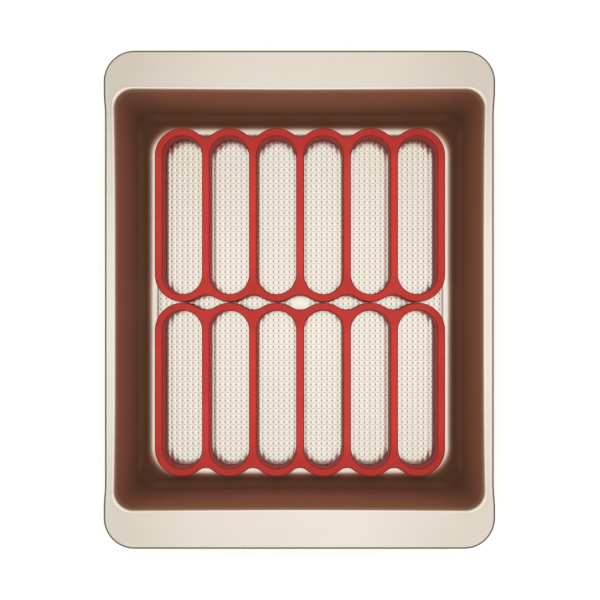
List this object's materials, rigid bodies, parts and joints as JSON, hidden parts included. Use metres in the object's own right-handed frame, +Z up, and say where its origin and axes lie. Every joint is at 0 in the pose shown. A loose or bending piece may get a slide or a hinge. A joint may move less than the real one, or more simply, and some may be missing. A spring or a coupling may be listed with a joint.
{
  "type": "roasting pan with silicone racks",
  "caption": "Deep rectangular roasting pan with wide end flanges, rolled rim and embossed floor, holding two loose silicone racks made of side-by-side oblong loops.",
  "frame": {"origin": "centre of the pan's underside, midway between the outer edges of the rim", "axes": "+X across the pan, +Y along it towards the rear end flange, +Z up out of the opening"},
  "size_m": [0.3174, 0.404, 0.0664],
  "materials": {
    "champagne_nonstick": "satin metallic non-stick coat on steel",
    "red_silicone": "satin moulded silicone"
  },
  "bodies": {
    "pan": {"pan": "champagne_nonstick"},
    "rear_rack": {"rear_rack": "red_silicone"},
    "front_rack": {"front_rack": "red_silicone"}
  },
  "joints": [
    {"name": "rear_rack_lift", "type": "slide", "parent": "pan", "child": "rear_rack", "axis": [0, 0, 1], "range_m": [0, 0.12]},
    {"name": "front_rack_lift", "type": "slide", "parent": "pan", "child": "front_rack", "axis": [0, 0, 1], "range_m": [0, 0.12]}
  ]
}
